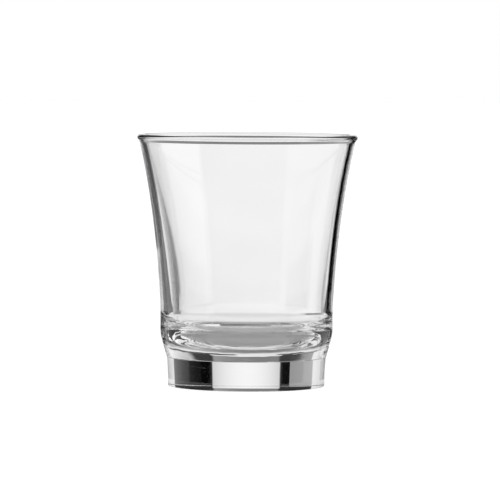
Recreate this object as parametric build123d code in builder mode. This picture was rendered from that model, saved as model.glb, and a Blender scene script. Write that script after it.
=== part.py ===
from build123d import *
import os

# A heavy-footed whiskey tumbler of clear pressed glass, in millimetres.
# It stands on z = 0 and its axis is Z. Both sub-parts are turned from an outline in the XZ plane:
# the solid base, from the table up to the crease at the waist, and the bowl above that crease.

# Overall size
HEIGHT = 94.2
LIP_RADIUS = 41.35

# Base: a thick disc that stands on a narrow flat ring round a shallow hollow
RING_INNER_RADIUS = 24.0
HOLLOW_DEPTH = 0.9
FOOT_RADIUS = 29.3
FOOT_CORNER_BEND = 0.3
WAIST_RADIUS = 29.9
WAIST_HEIGHT = 10.9

# Outside of the bowl: a cone up to the upright belly, then the flare
BELLY_RADIUS = 32.4
CONE_TOP_HEIGHT = 19.7
CONE_TOP_BEND = 13.0
FLARE_HEIGHT = 28.4
FLARE_HANDLE_HEIGHT = 30.2
FLARE_PULL = (33.5, 61.9)

# Lip: a small rolled bead, proud of the wall outside, above a notch
NOTCH_RADIUS = 40.5
NOTCH_HEIGHT = 91.5
BEAD_HEIGHT = 92.6
BEAD_BEND = 0.6
LIP_TOP_BEND = 1.2
LIP_THICKNESS = 2.6

# Inside of the bowl: a mouth, the flared wall, and a well whose side bends round into the floor
MOUTH_RADIUS = 38.1
MOUTH_HEIGHT = 91.0
WELL_PULL = (31.0, 61.9)
WELL_RADIUS = 28.6
WELL_HANDLE_HEIGHT = 35.5
WELL_BEND_TOP_HEIGHT = 28.5
WELL_BEND_HANDLE_HEIGHT = 19.0
FLOOR_PULL_RADIUS = 19.5
FLOOR_HEIGHT = 14.5


with BuildPart() as base:
    with BuildSketch(Plane.XZ):
        with BuildLine():
            FilletPolyline(
                (RING_INNER_RADIUS, 0),
                (FOOT_RADIUS, 0),
                (WAIST_RADIUS, WAIST_HEIGHT),
                radius=[FOOT_CORNER_BEND],
            )
            Polyline((WAIST_RADIUS, WAIST_HEIGHT), (0, WAIST_HEIGHT), (0, HOLLOW_DEPTH))
            TangentArc((0, HOLLOW_DEPTH), (RING_INNER_RADIUS, 0), tangent=(1, 0))
        make_face()
    revolve(axis=Axis.Z)
base.part.label = "base"


with BuildPart() as bowl:
    with BuildSketch(Plane.XZ):
        with BuildLine():
            FilletPolyline(
                (WAIST_RADIUS, WAIST_HEIGHT),
                (BELLY_RADIUS, CONE_TOP_HEIGHT),
                (BELLY_RADIUS, FLARE_HEIGHT),
                radius=[CONE_TOP_BEND],
            )
            Bezier(
                (BELLY_RADIUS, FLARE_HEIGHT),
                (BELLY_RADIUS, FLARE_HANDLE_HEIGHT),
                FLARE_PULL,
                (NOTCH_RADIUS, NOTCH_HEIGHT),
            )
            FilletPolyline(
                (NOTCH_RADIUS, NOTCH_HEIGHT),
                (LIP_RADIUS, BEAD_HEIGHT),
                (LIP_RADIUS, HEIGHT),
                (LIP_RADIUS - LIP_THICKNESS, HEIGHT),
                (MOUTH_RADIUS, MOUTH_HEIGHT),
                radius=[BEAD_BEND, LIP_TOP_BEND, LIP_TOP_BEND],
            )
            Bezier(
                (MOUTH_RADIUS, MOUTH_HEIGHT),
                WELL_PULL,
                (WELL_RADIUS, WELL_HANDLE_HEIGHT),
                (WELL_RADIUS, WELL_BEND_TOP_HEIGHT),
            )
            Bezier(
                (WELL_RADIUS, WELL_BEND_TOP_HEIGHT),
                (WELL_RADIUS, WELL_BEND_HANDLE_HEIGHT),
                (FLOOR_PULL_RADIUS, FLOOR_HEIGHT),
                (0, FLOOR_HEIGHT),
            )
            Polyline((0, FLOOR_HEIGHT), (0, WAIST_HEIGHT), (WAIST_RADIUS, WAIST_HEIGHT))
        make_face()
    revolve(axis=Axis.Z)
bowl.part.label = "bowl"


os.makedirs("parts", exist_ok=True)
export_step(base.part, "parts/base.step")
export_step(bowl.part, "parts/bowl.step")
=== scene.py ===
import math

import bmesh
import bpy
from mathutils import Euler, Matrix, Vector


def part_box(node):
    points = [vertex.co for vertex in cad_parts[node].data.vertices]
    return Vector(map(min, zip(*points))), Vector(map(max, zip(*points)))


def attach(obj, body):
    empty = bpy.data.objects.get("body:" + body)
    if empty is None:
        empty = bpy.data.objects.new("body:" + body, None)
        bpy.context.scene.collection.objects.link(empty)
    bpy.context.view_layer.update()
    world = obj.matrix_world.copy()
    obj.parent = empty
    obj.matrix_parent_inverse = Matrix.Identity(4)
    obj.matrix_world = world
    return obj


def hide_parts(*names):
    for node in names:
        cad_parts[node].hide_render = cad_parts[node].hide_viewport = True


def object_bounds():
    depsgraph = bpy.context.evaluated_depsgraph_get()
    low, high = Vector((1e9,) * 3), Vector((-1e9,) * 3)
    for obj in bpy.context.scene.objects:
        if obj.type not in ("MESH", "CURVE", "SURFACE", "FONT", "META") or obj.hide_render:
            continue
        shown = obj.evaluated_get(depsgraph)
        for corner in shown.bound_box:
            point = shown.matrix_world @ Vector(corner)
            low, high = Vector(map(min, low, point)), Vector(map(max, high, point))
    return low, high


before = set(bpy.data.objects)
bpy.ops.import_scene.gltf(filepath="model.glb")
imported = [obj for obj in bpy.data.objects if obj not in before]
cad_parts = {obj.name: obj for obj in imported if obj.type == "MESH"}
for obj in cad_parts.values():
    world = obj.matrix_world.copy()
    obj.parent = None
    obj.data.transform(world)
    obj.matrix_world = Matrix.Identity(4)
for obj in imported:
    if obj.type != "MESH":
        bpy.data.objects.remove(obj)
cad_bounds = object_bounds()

# A heavy-footed whiskey tumbler of clear pressed glass, on a pale table in a small photo studio.
# Lengths are in metres. The tumbler is one closed skin of glass, turned from an outline whose
# overall size is that of the CAD base and bowl.

MM = 0.001

base_low, base_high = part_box("base")
bowl_low, bowl_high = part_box("bowl")
WAIST_RADIUS = base_high[0]
WAIST_HEIGHT = base_high[2]
LIP_RADIUS = bowl_high[0]
HEIGHT = bowl_high[2]

# Base, and the small step that the mould leaves round the waist
HOLLOW_DEPTH = 0.9 * MM
RING_INNER_RADIUS = 24.0 * MM
FOOT_RADIUS = WAIST_RADIUS - 0.6 * MM
FOOT_CORNER_BEND = 0.3 * MM
MOULD_SEAM = 0.22 * MM
CREASE_BEND = 0.12 * MM

# Outside of the bowl: cone, upright belly, flare and rolled lip
BELLY_RADIUS = WAIST_RADIUS + 2.5 * MM
CONE_TOP_HEIGHT = WAIST_HEIGHT + 8.8 * MM
CONE_TOP_BEND = 13.0 * MM
FLARE_HEIGHT = HEIGHT - 65.8 * MM
FLARE_START_HANDLE = 1.8 * MM
FLARE_END_HANDLE = (7.0 * MM, 29.6 * MM)
NOTCH_RADIUS = LIP_RADIUS - 0.85 * MM
NOTCH_HEIGHT = HEIGHT - 2.7 * MM
BEAD_HEIGHT = HEIGHT - 1.6 * MM
BEAD_BEND = 0.6 * MM
LIP_TOP_BEND = 1.2 * MM
LIP_THICKNESS = 2.6 * MM

# Inside of the bowl
MOUTH_RADIUS = LIP_RADIUS - 3.25 * MM
MOUTH_HEIGHT = HEIGHT - 3.2 * MM
MOUTH_HANDLE = (7.1 * MM, 29.1 * MM)
WELL_RADIUS = 28.6 * MM
WELL_WALL_HANDLE = 7.0 * MM
WELL_BEND_TOP_HEIGHT = 28.5 * MM
WELL_BEND_HANDLE = 9.5 * MM
FLOOR_PULL_RADIUS = 19.5 * MM
FLOOR_HEIGHT = 14.5 * MM

# Pressed glass is never quite true. The inside of the bowl is off-centre, to the right, by this
# much from this depth below the mouth, and the heel of the glass has a fine ripple.
WELL_SHIFT = 0.55 * MM
WELL_SHIFT_DEPTH = 50 * MM
RIPPLE = 0.004 * MM
RIPPLE_LOW = 12 * MM
RIPPLE_RISE = 2 * MM
RIPPLE_HIGH = 30 * MM
RIPPLE_FALL = 8 * MM
RIPPLE_WAVES = [
    # waves round the glass, waves per metre of height, phase
    (31, 140, 0.0),
    (-23, 210, 1.7),
    (47, -90, 4.1),
]

# Turning
SEGMENTS = 288
LONGEST_STEP = 0.6 * MM
SAME_POINT = 0.001 * MM
ARC_STEP = math.radians(4)
CURVE_STEPS = 60


# ---------------------------------------------------------------- outline of the glass


def at(radius, height):
    return Vector((radius, height))


def rounded(corners, bends):
    """The points of a line through the corners, with each inner corner rounded to its bend radius."""
    points = [corners[0]]
    for before, corner, after, radius in zip(corners, corners[1:], corners[2:], bends):
        to_before = (before - corner).normalized()
        to_after = (after - corner).normalized()
        half = to_before.angle(to_after) / 2
        centre = corner + (to_before + to_after).normalized() * (radius / math.sin(half))
        first = corner + to_before * (radius / math.tan(half)) - centre
        last = corner + to_after * (radius / math.tan(half)) - centre
        steps = max(2, math.ceil((math.pi - 2 * half) / ARC_STEP))
        points += [centre + radius * first.slerp(last, i / steps) for i in range(steps + 1)]
    return points + [corners[-1]]


def bezier(start, handle_1, handle_2, end):
    """Points along a cubic Bezier curve."""
    points = []
    for i in range(CURVE_STEPS + 1):
        t = i / CURVE_STEPS
        u = 1 - t
        points.append(u**3 * start + 3 * u * u * t * handle_1 + 3 * u * t * t * handle_2 + t**3 * end)
    return points


def divided(points):
    """The same line without doubled points, and with its long runs cut into short steps."""
    line = [points[0]]
    for point in points[1:]:
        run = (point - line[-1]).length
        if run < SAME_POINT:
            continue
        steps = math.ceil(run / LONGEST_STEP)
        start = line[-1]
        line += [start.lerp(point, i / steps) for i in range(1, steps + 1)]
    return line


def outside_outline():
    """From the middle of the foot, up the side and over the lip, to the mouth."""
    ring_inner = at(RING_INNER_RADIUS, 0)
    waist = at(WAIST_RADIUS, WAIST_HEIGHT)
    flare_start = at(BELLY_RADIUS, FLARE_HEIGHT)
    notch = at(NOTCH_RADIUS, NOTCH_HEIGHT)
    hollow = bezier(
        at(0, HOLLOW_DEPTH),
        at(RING_INNER_RADIUS / 3, HOLLOW_DEPTH),
        at(RING_INNER_RADIUS * 2 / 3, HOLLOW_DEPTH * 2 / 3),
        ring_inner,
    )
    side = rounded(
        [
            ring_inner,
            at(FOOT_RADIUS, 0),
            waist,
            waist + at(MOULD_SEAM, MOULD_SEAM),
            at(BELLY_RADIUS, CONE_TOP_HEIGHT),
            flare_start,
        ],
        [FOOT_CORNER_BEND, CREASE_BEND, CREASE_BEND, CONE_TOP_BEND],
    )
    flare = bezier(
        flare_start,
        flare_start + at(0, FLARE_START_HANDLE),
        notch - at(*FLARE_END_HANDLE),
        notch,
    )
    lip = rounded(
        [
            flare[-2],
            notch,
            at(LIP_RADIUS, BEAD_HEIGHT),
            at(LIP_RADIUS, HEIGHT),
            at(LIP_RADIUS - LIP_THICKNESS, HEIGHT),
            at(MOUTH_RADIUS, MOUTH_HEIGHT),
        ],
        [CREASE_BEND, BEAD_BEND, LIP_TOP_BEND, LIP_TOP_BEND],
    )
    return divided(hollow + side[1:] + flare[1:-1] + lip[1:])


def inside_outline():
    """From the mouth, down the wall and round the bend of the well, to the middle of the floor."""
    mouth = at(MOUTH_RADIUS, MOUTH_HEIGHT)
    bend_top = at(WELL_RADIUS, WELL_BEND_TOP_HEIGHT)
    wall = bezier(
        mouth,
        mouth - at(*MOUTH_HANDLE),
        bend_top + at(0, WELL_WALL_HANDLE),
        bend_top,
    )
    well = bezier(
        bend_top,
        bend_top - at(0, WELL_BEND_HANDLE),
        at(FLOOR_PULL_RADIUS, FLOOR_HEIGHT),
        at(0, FLOOR_HEIGHT),
    )
    return divided(wall + well[1:])


# ---------------------------------------------------------------- the skin of glass


def smooth_step(value, low, high):
    """0 up to low, 1 from high, and a smooth rise between."""
    t = min(1, max(0, (value - low) / (high - low)))
    return t * t * (3 - 2 * t)


def ripple(angle, height):
    """How far the skin stands out of true, in the heel of the glass."""
    strength = RIPPLE * smooth_step(height, RIPPLE_LOW, RIPPLE_LOW + RIPPLE_RISE)
    strength *= 1 - smooth_step(height, RIPPLE_HIGH - RIPPLE_FALL, RIPPLE_HIGH)
    if strength == 0:
        return 0
    waves = 0
    for around, upwards, phase in RIPPLE_WAVES:
        waves += math.sin(around * angle + math.tau * upwards * height + phase)
    return strength * waves


def turned_glass(name, outside, inside):
    """A closed skin, made by turning both runs of the outline round the axis of the glass. The axis
    of the inside moves to the right below the mouth."""
    mesh = bmesh.new()
    outline = outside + inside[1:]
    shifts = [0] * len(outside)
    for point in inside[1:]:
        shifts.append(WELL_SHIFT * smooth_step(MOUTH_HEIGHT - point.y, 0, WELL_SHIFT_DEPTH))
    bottom = mesh.verts.new((0, 0, outline[0].y))
    top = mesh.verts.new((shifts[-1], 0, outline[-1].y))
    angles = [math.tau * i / SEGMENTS for i in range(SEGMENTS)]
    rings = []
    for point, shift in zip(outline[1:-1], shifts[1:-1]):
        ring = []
        for angle in angles:
            radius = point.x + ripple(angle, point.y)
            x = shift + radius * math.cos(angle)
            ring.append(mesh.verts.new((x, radius * math.sin(angle), point.y)))
        rings.append(ring)
    for i in range(SEGMENTS):
        j = (i + 1) % SEGMENTS
        mesh.faces.new((bottom, rings[0][j], rings[0][i]))
        for lower, upper in zip(rings, rings[1:]):
            mesh.faces.new((lower[i], lower[j], upper[j], upper[i]))
        mesh.faces.new((top, rings[-1][i], rings[-1][j]))
    for face in mesh.faces:
        face.smooth = True
    return new_object(name, mesh)


def new_object(name, mesh):
    data = bpy.data.meshes.new(name)
    mesh.to_mesh(data)
    mesh.free()
    piece = bpy.data.objects.new(name, data)
    bpy.context.collection.objects.link(piece)
    return piece


def disc(name, radius):
    mesh = bmesh.new()
    bmesh.ops.create_circle(mesh, cap_ends=True, radius=radius, segments=DISC_SEGMENTS)
    return new_object(name, mesh)


# ---------------------------------------------------------------- materials

# Glass
GLASS_IOR = 1.52
TINT_SCALE = 35
TINT_RANGE = (0.978, 0.994)
WAVE_SCALE = 110
WAVE_HEIGHT = 0.012 * MM
SCUFF_SCALE = 1800
SCUFF_NOISE_RANGE = (0.60, 0.72)
SCUFF_ROUGHNESS = 0.08
SCUFFED_HEIGHTS = (0.1 * MM, 0.5 * MM)

# Table
GRAIN_SCALE = 900
GRAIN_RANGE = (0.88, 0.92)
TABLE_ROUGHNESS = 0.6
TABLE_GLOW = 0.75

# The part of a noise's range that holds most of it
NOISE_SPREAD = (0.3, 0.7)

WHITE = (1, 1, 1, 1)
BLACK = (0, 0, 0, 1)


class Nodes:
    """The nodes of one node tree, written as calls."""

    def __init__(self, tree):
        self.nodes = tree.nodes
        self.links = tree.links

    def plug(self, socket, value):
        if isinstance(value, bpy.types.NodeSocket):
            self.links.new(value, socket)
        else:
            socket.default_value = value

    def maths(self, operation, *values):
        node = self.nodes.new("ShaderNodeMath")
        node.operation = operation
        for socket, value in zip(node.inputs, values):
            self.plug(socket, value)
        return node.outputs[0]

    def ramp(self, value, low, high, at_low, at_high, kind="SMOOTHSTEP"):
        node = self.nodes.new("ShaderNodeMapRange")
        node.interpolation_type = kind
        for socket, number in zip(node.inputs, (value, low, high, at_low, at_high)):
            self.plug(socket, number)
        return node.outputs[0]

    def band(self, value, low, high, softness):
        """1 between low and high, 0 outside, with soft edges."""
        rise = self.ramp(value, low - softness, low + softness, 0, 1)
        fall = self.ramp(value, high - softness, high + softness, 1, 0)
        return self.maths("MULTIPLY", rise, fall)

    def through(self, value, low, high, at_low, at_middle, at_high):
        """A parabola that passes through three values, at low, half way and at high."""
        slope = 4 * at_middle - 3 * at_low - at_high
        bend = 2 * (at_low + at_high) - 4 * at_middle
        t = self.ramp(value, low, high, 0, 1, kind="LINEAR")
        return self.maths("MULTIPLY_ADD", t, self.maths("MULTIPLY_ADD", t, bend, slope), at_low)

    def mix(self, factor, first, second):
        difference = self.maths("SUBTRACT", second, first)
        return self.maths("MULTIPLY_ADD", factor, difference, first)

    def grey(self, value):
        node = self.nodes.new("ShaderNodeCombineColor")
        for socket in node.inputs:
            self.plug(socket, value)
        return node.outputs[0]

    def coordinates(self, kind):
        """A position or direction, whole and split into x, y and z."""
        whole = self.nodes.new("ShaderNodeTexCoord").outputs[kind]
        split = self.nodes.new("ShaderNodeSeparateXYZ")
        self.links.new(whole, split.inputs[0])
        return whole, split.outputs

    def noise(self, position, scale, detail):
        node = self.nodes.new("ShaderNodeTexNoise")
        self.plug(node.inputs["Vector"], position)
        self.plug(node.inputs["Scale"], scale)
        self.plug(node.inputs["Detail"], detail)
        return node.outputs[0]


def new_material(name):
    material = bpy.data.materials.new(name)
    material.use_nodes = True
    return material, Nodes(material.node_tree), material.node_tree.nodes["Principled BSDF"].inputs


def clear_glass():
    """Clear soda-lime glass: slow waves left by the mould, a trace of grey that comes and goes, and
    fine scuffs where the resting ring meets the table."""
    material, n, shader = new_material("clear_glass")
    shader["IOR"].default_value = GLASS_IOR
    shader["Transmission Weight"].default_value = 1
    position, (_, _, height) = n.coordinates("Object")

    tint = n.ramp(n.noise(position, TINT_SCALE, detail=2), *NOISE_SPREAD, *TINT_RANGE)
    n.plug(shader["Base Color"], n.grey(tint))

    speckle = n.noise(position, SCUFF_SCALE, detail=5)
    scuffs = n.ramp(speckle, *SCUFF_NOISE_RANGE, 0, SCUFF_ROUGHNESS)
    on_ring = n.ramp(height, *SCUFFED_HEIGHTS, 1, 0)
    n.plug(shader["Roughness"], n.maths("MULTIPLY", scuffs, on_ring))

    waves = material.node_tree.nodes.new("ShaderNodeBump")
    waves.inputs["Strength"].default_value = 1
    waves.inputs["Distance"].default_value = WAVE_HEIGHT
    n.plug(waves.inputs["Height"], n.noise(position, WAVE_SCALE, detail=1))
    n.plug(shader["Normal"], waves.outputs[0])
    return material


def pale_table():
    """A matt white sheet with a faint grain, that gives out light of its own."""
    material, n, shader = new_material("pale_table")
    position, _ = n.coordinates("Object")
    grain = n.ramp(n.noise(position, GRAIN_SCALE, detail=3), *NOISE_SPREAD, *GRAIN_RANGE)
    n.plug(shader["Base Color"], n.grey(grain))
    shader["Roughness"].default_value = TABLE_ROUGHNESS
    shader["Emission Color"].default_value = WHITE
    shader["Emission Strength"].default_value = TABLE_GLOW
    return material


# ---------------------------------------------------------------- studio

# The studio round the table, as cards far away: azimuth from straight behind the glass towards the
# right, elevation above the table top, and brightness at the card's left edge, middle and right edge.
# A lit panel stands behind the glass between black flags, a softbox stands on each side, and the room
# behind the camera is dark. The cards below the table top stand for the table as the glass shows it,
# since the table itself is hidden from the glass. Their brightnesses are chosen for how the glass looks
# and are not those of a real room. Each card covers those before it. Below the table top a card leans:
# its azimuths move by this many degrees for each degree of depth. The tops and bottoms of all cards have
# one softness, EDGE, in degrees, and ROOM is the brightness where there is no card.
ROOM = 0.88
EDGE = 0.8
CARDS = [
    # name, azimuths, elevations, brightnesses, softness of the sides (degrees), lean
    ("wall_behind", (-60, 60), (11.2, 60), (0.50, 0.20, 0.90), 2, 0),
    ("near_table", (-181, 181), (-16, -5), (0.55, 0.55, 0.55), 2, 0),
    ("front_left", (-181, -128), (-5, 75), (0.16, 0.14, 0.18), 2, 0),
    ("front_right", (118, 181), (-5, 75), (0.06, 0.06, 0.12), 2, 0),
    ("left_dark", (-60, -17), (-16, -1.8), (0.14, 0.12, 0.02), 1, 0),
    ("right_dark", (17, 60), (-17, -1.8), (0.01, 0.00, 0.02), 1, 0),
    ("left_grey", (-47, -24), (-1.8, 3.8), (0.42, 0.38, 0.32), 0.5, 0),
    ("right_grey", (24, 57), (-1.8, 3.8), (0.006, 0.037, 0.13), 0.8, 0),
    ("left_side", (-130, -57), (-16, 60), (0.55, 0.62, 0.85), 1, 1.6),
    ("right_side", (57, 120), (-16, 60), (0.90, 1.10, 1.10), 1, -2.0),
    ("left_light", (-58, -46), (-1.8, 30), (0.75, 0.85, 0.85), 0.6, 0),
    ("left_foot", (-126, -88), (-12, -6.5), (0.0, 0.0, 0.10), 2, 0),
    ("right_foot", (88, 126), (-12, -6.5), (0.10, 0.0, 0.0), 2, 0),
    ("top_left_flag", (-46, -17), (3.8, 15.5), (0.0, 0.0, 0.0), 1, 0),
    ("top_right_flag", (17, 57), (3.8, 15.5), (0.0, 0.0, 0.0), 1, 0),
    ("left_flag", (-24, -17), (-1.8, 11.2), (0.0, 0.0, 0.0), 0.4, 0),
    ("right_flag", (17, 25), (-1.8, 11.2), (0.0, 0.0, 0.0), 0.4, 0),
    ("back_panel", (-17.5, 17.5), (-20, 11.2), (0.65, 0.98, 0.65), 0.5, 0),
    ("far_table", (-17, 17), (-20, -9.2), (0.74, 0.80, 0.74), 1, 0),
    ("low_left_flag", (-31, -15), (-18, -5.5), (0.06, 0.03, 0.22), 1.2, 0),
    ("low_right_flag", (4.5, 20), (-18, -8.6), (0.20, 0.02, 0.00), 1.5, 0),
]

# The shade on the table under the glass, as it is seen through the glass
SHADE = 0.30
SHADE_DEPTH = 0.1 * MM
SHADE_RADIUS = 27 * MM
SHADE_EDGE_RADIUS = 45 * MM

TABLE_RADIUS = 6
DISC_SEGMENTS = 96
TABLE_TOP = cad_bounds[0][2]


def make_studio():
    """The cards, as the glass sees them. The camera itself sees plain white behind everything."""
    world = bpy.data.worlds.new("studio")
    world.use_nodes = True
    n = Nodes(world.node_tree)
    _, (x, y, z) = n.coordinates("Generated")
    azimuth = n.maths("DEGREES", n.maths("ARCTAN2", x, y))
    elevation = n.maths("DEGREES", n.maths("ARCSINE", z))
    depth = n.maths("MAXIMUM", n.maths("MULTIPLY", elevation, -1), 0)
    light = ROOM
    for _, azimuths, elevations, brightnesses, softness, lean in CARDS:
        leaned = n.maths("MULTIPLY_ADD", depth, -lean, azimuth)
        across = n.band(leaned, *azimuths, softness)
        inside = n.maths("MULTIPLY", across, n.band(elevation, *elevations, EDGE))
        light = n.mix(inside, light, n.through(leaned, *azimuths, *brightnesses))
    seen = world.node_tree.nodes.new("ShaderNodeLightPath").outputs["Is Camera Ray"]
    background = world.node_tree.nodes["Background"]
    n.plug(background.inputs["Color"], n.grey(n.mix(seen, light, 1.0)))
    bpy.context.scene.world = world


def make_table():
    """The table top, which is seen neither through the glass nor in it."""
    table = disc("table_top", TABLE_RADIUS)
    table.location.z = TABLE_TOP
    table.data.materials.append(pale_table())
    table.visible_transmission = False
    table.visible_glossy = False


def make_shade():
    """A disc just under the table top, that only rays through the glass can see."""
    shade = disc("shade", SHADE_EDGE_RADIUS)
    shade.location.z = TABLE_TOP - SHADE_DEPTH
    shade.visible_camera = False
    shade.visible_diffuse = False
    shade.visible_shadow = False
    material, n, shader = new_material("shade")
    _, (x, y, _) = n.coordinates("Object")
    radius = n.maths("SQRT", n.maths("MULTIPLY_ADD", x, x, n.maths("MULTIPLY", y, y)))
    shader["Base Color"].default_value = BLACK
    shader["Specular IOR Level"].default_value = 0
    shader["Emission Color"].default_value = WHITE
    n.plug(shader["Emission Strength"], n.ramp(radius, SHADE_RADIUS, SHADE_EDGE_RADIUS, SHADE, ROOM))
    shade.data.materials.append(material)


# A long lens, low over the table, a little above the lip
CAMERA_DISTANCE = 1.676
CAMERA_HEIGHT = 0.1354
CAMERA_AIM = Vector((1.16 * MM, 0, 50.9 * MM))
CAMERA_ROLL = math.radians(0.32)
FRAME_WIDTH = 0.1873
SENSOR_WIDTH = 36


def make_camera():
    data = bpy.data.cameras.new("camera")
    camera = bpy.data.objects.new("camera", data)
    bpy.context.collection.objects.link(camera)
    camera.location = (CAMERA_AIM.x, -CAMERA_DISTANCE, CAMERA_HEIGHT)
    look = CAMERA_AIM - camera.location
    data.sensor_width = SENSOR_WIDTH
    data.lens = SENSOR_WIDTH * look.length / FRAME_WIDTH
    turn = look.to_track_quat("-Z", "Y").to_matrix() @ Euler((0, 0, CAMERA_ROLL)).to_matrix()
    camera.rotation_euler = turn.to_euler()
    bpy.context.scene.camera = camera


# ---------------------------------------------------------------- the scene

GLASS_BOUNCES = 24
GLOSSY_BOUNCES = 16

tumbler = turned_glass("tumbler_glass", outside_outline(), inside_outline())
tumbler.data.materials.append(clear_glass())
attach(tumbler, "root")
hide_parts("base", "bowl")

make_table()
make_shade()
make_studio()
make_camera()

scene = bpy.context.scene
scene.view_settings.view_transform = "Standard"
scene.cycles.max_bounces = GLASS_BOUNCES
scene.cycles.transmission_bounces = GLASS_BOUNCES
scene.cycles.glossy_bounces = GLOSSY_BOUNCES
